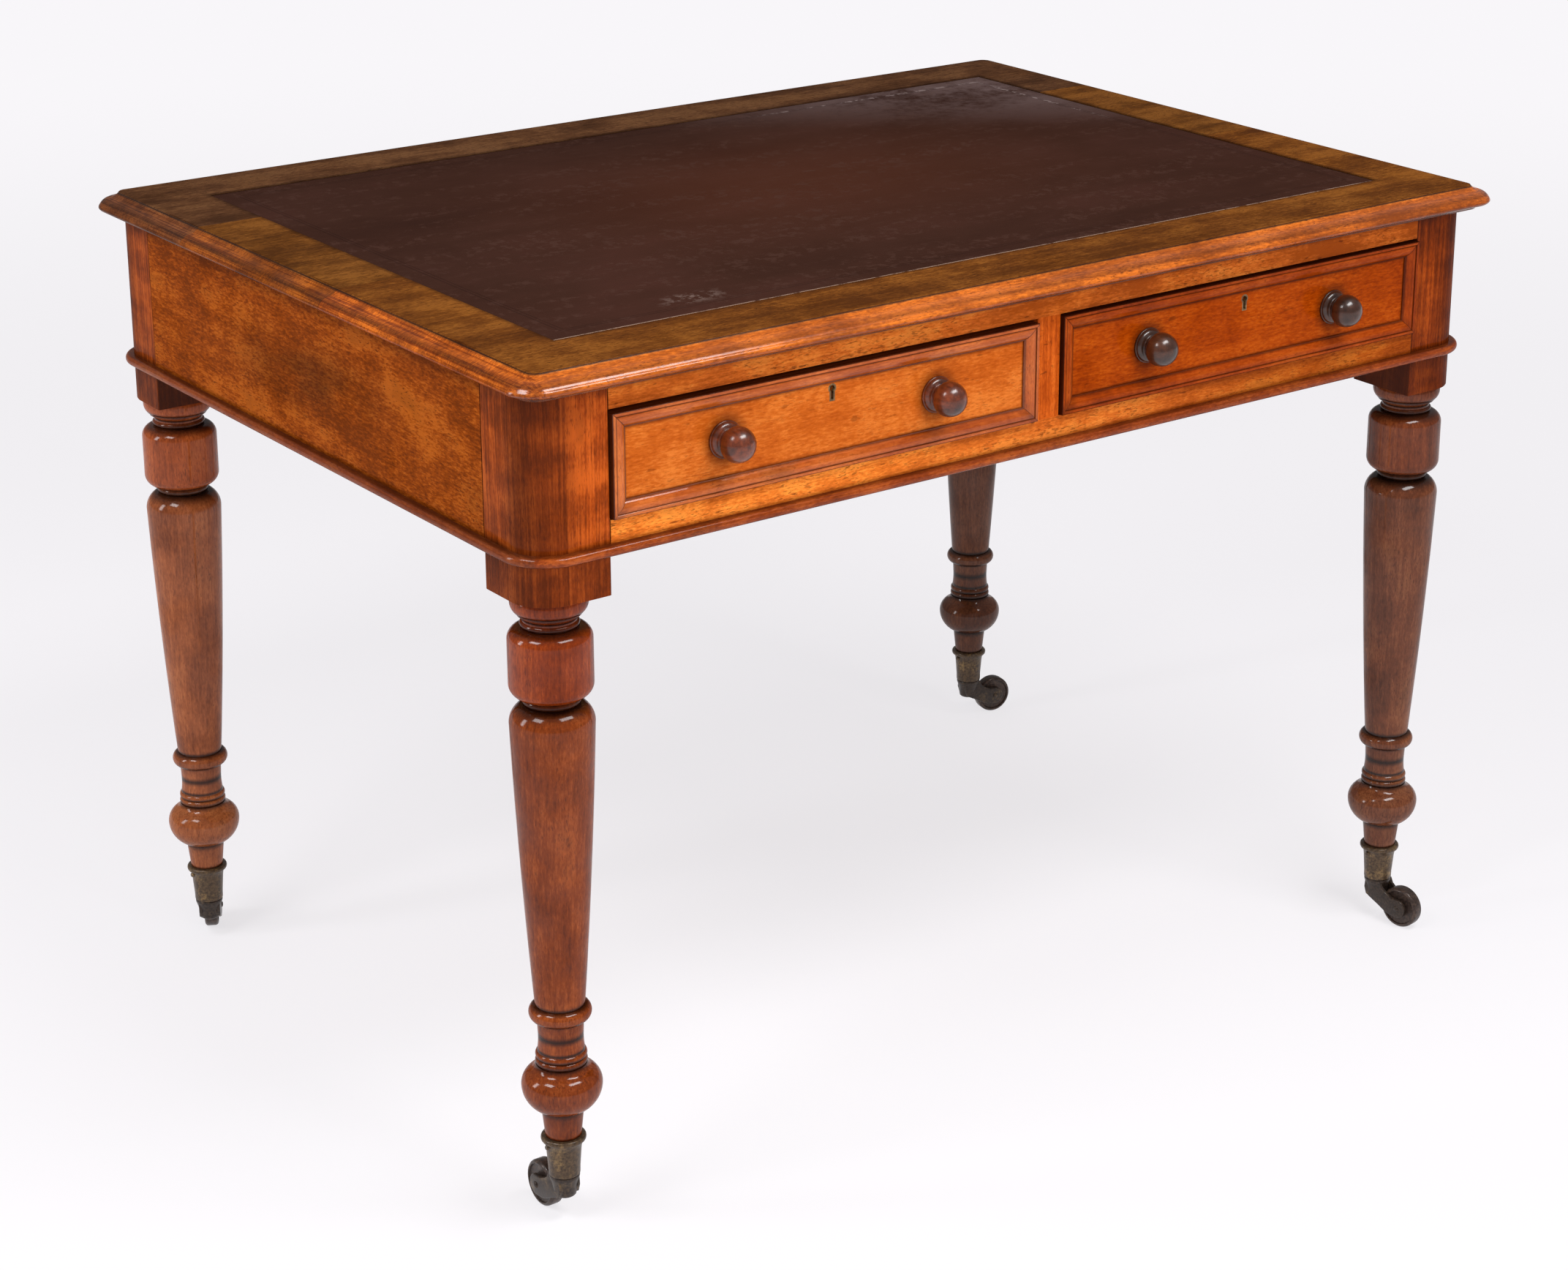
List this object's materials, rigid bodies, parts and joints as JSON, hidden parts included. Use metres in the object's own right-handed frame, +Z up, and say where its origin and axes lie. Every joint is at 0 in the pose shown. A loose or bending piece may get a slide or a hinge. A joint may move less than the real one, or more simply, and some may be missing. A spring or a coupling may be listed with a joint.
{
  "type": "writing table",
  "caption": "Mahogany writing table with a sunk leather writing surface, frieze drawers with turned knobs, and turned legs on brass castors.",
  "frame": {"origin": "on the floor, in the middle of the space that the table and its knobs take up, seen from above", "axes": "+X to the right along the drawer fronts, +Y to the back, so the drawers open towards -Y, and +Z up"},
  "size_m": [1.072, 0.7738, 0.76],
  "materials": {
    "top_mahogany": "french polished, worn satin",
    "frame_mahogany": "french polished, satin",
    "leg_mahogany": "french polished, glossy",
    "drawer_mahogany": "french polished, satin",
    "knob_mahogany": "dark and glossy from use",
    "lining_oak": "bare, aged",
    "inner_pine": "bare, aged",
    "leather": "worn, satin",
    "castor_brass": "dark patina with rubbed edges",
    "fitting_brass": "aged"
  },
  "bodies": {
    "table": {"top_board_front": "top_mahogany", "top_board_middle": "top_mahogany", "top_board_back": "top_mahogany", "leather_inset": "leather", "leg_front_left": "leg_mahogany", "leg_front_right": "leg_mahogany", "leg_rear_left": "leg_mahogany", "leg_rear_right": "leg_mahogany", "rail_front_top": "frame_mahogany", "rail_front_bottom": "frame_mahogany", "muntin_front": "frame_mahogany", "rail_back": "frame_mahogany", "rail_side_left": "frame_mahogany", "rail_side_right": "frame_mahogany", "bead_front": "frame_mahogany", "bead_back": "frame_mahogany", "bead_left": "frame_mahogany", "bead_right": "frame_mahogany", "drawer_runner_left": "inner_pine", "drawer_kicker_left": "inner_pine", "drawer_runner_centre": "inner_pine", "drawer_kicker_centre": "inner_pine", "drawer_runner_right": "inner_pine", "drawer_kicker_right": "inner_pine", "drawer_stops": "inner_pine", "glue_blocks": "inner_pine", "castor_cup_front_left": "castor_brass", "castor_cup_rear_left": "castor_brass", "castor_cup_front_right": "castor_brass", "castor_cup_rear_right": "castor_brass", "castor_screws": "castor_brass"},
    "drawer_left": {"drawer_left_front": "drawer_mahogany", "drawer_left_moulding": "drawer_mahogany", "drawer_left_side_left": "lining_oak", "drawer_left_side_right": "lining_oak", "drawer_left_back": "lining_oak", "drawer_left_bottom": "lining_oak", "drawer_left_knob_left": "knob_mahogany", "drawer_left_knob_right": "knob_mahogany", "drawer_left_escutcheon": "fitting_brass", "drawer_left_lock": "fitting_brass"},
    "drawer_right": {"drawer_right_front": "drawer_mahogany", "drawer_right_moulding": "drawer_mahogany", "drawer_right_side_left": "lining_oak", "drawer_right_side_right": "lining_oak", "drawer_right_back": "lining_oak", "drawer_right_bottom": "lining_oak", "drawer_right_knob_left": "knob_mahogany", "drawer_right_knob_right": "knob_mahogany", "drawer_right_escutcheon": "fitting_brass", "drawer_right_lock": "fitting_brass"},
    "horn_front_left": {"castor_horn_front_left": "castor_brass"},
    "wheel_front_left": {"castor_wheel_front_left": "castor_brass"},
    "horn_rear_left": {"castor_horn_rear_left": "castor_brass"},
    "wheel_rear_left": {"castor_wheel_rear_left": "castor_brass"},
    "horn_front_right": {"castor_horn_front_right": "castor_brass"},
    "wheel_front_right": {"castor_wheel_front_right": "castor_brass"},
    "horn_rear_right": {"castor_horn_rear_right": "castor_brass"},
    "wheel_rear_right": {"castor_wheel_rear_right": "castor_brass"}
  },
  "joints": [
    {"name": "drawer_left_slide", "type": "slide", "parent": "table", "child": "drawer_left", "axis": [0, -1, 0], "range_m": [0, 0.4]},
    {"name": "drawer_right_slide", "type": "slide", "parent": "table", "child": "drawer_right", "axis": [0, -1, 0], "range_m": [0, 0.4]},
    {"name": "swivel_front_left", "type": "hinge", "parent": "table", "child": "horn_front_left", "pos_m": [-0.483, -0.3191, 0.044], "axis": [0, 0, 1], "continuous": true},
    {"name": "wheel_spin_front_left", "type": "hinge", "parent": "horn_front_left", "child": "wheel_front_left", "pos_m": [-0.483, -0.2881, 0.0205], "axis": [-1, 0, 0], "continuous": true},
    {"name": "swivel_rear_left", "type": "hinge", "parent": "table", "child": "horn_rear_left", "pos_m": [-0.483, 0.3369, 0.044], "axis": [0, 0, 1], "continuous": true},
    {"name": "wheel_spin_rear_left", "type": "hinge", "parent": "horn_rear_left", "child": "wheel_rear_left", "pos_m": [-0.46845, 0.36427, 0.0205], "axis": [-0.8829, 0.4695, 0], "continuous": true},
    {"name": "swivel_front_right", "type": "hinge", "parent": "table", "child": "horn_front_right", "pos_m": [0.483, -0.3191, 0.044], "axis": [0, 0, 1], "continuous": true},
    {"name": "wheel_spin_front_right", "type": "hinge", "parent": "horn_front_right", "child": "wheel_front_right", "pos_m": [0.48785, -0.34972, 0.0205], "axis": [0.9877, 0.1564, 0], "continuous": true},
    {"name": "swivel_rear_right", "type": "hinge", "parent": "table", "child": "horn_rear_right", "pos_m": [0.483, 0.3369, 0.044], "axis": [0, 0, 1], "continuous": true},
    {"name": "wheel_spin_rear_right", "type": "hinge", "parent": "horn_rear_right", "child": "wheel_rear_right", "pos_m": [0.51353, 0.33152, 0.0205], "axis": [0.1736, 0.9848, 0], "continuous": true}
  ]
}
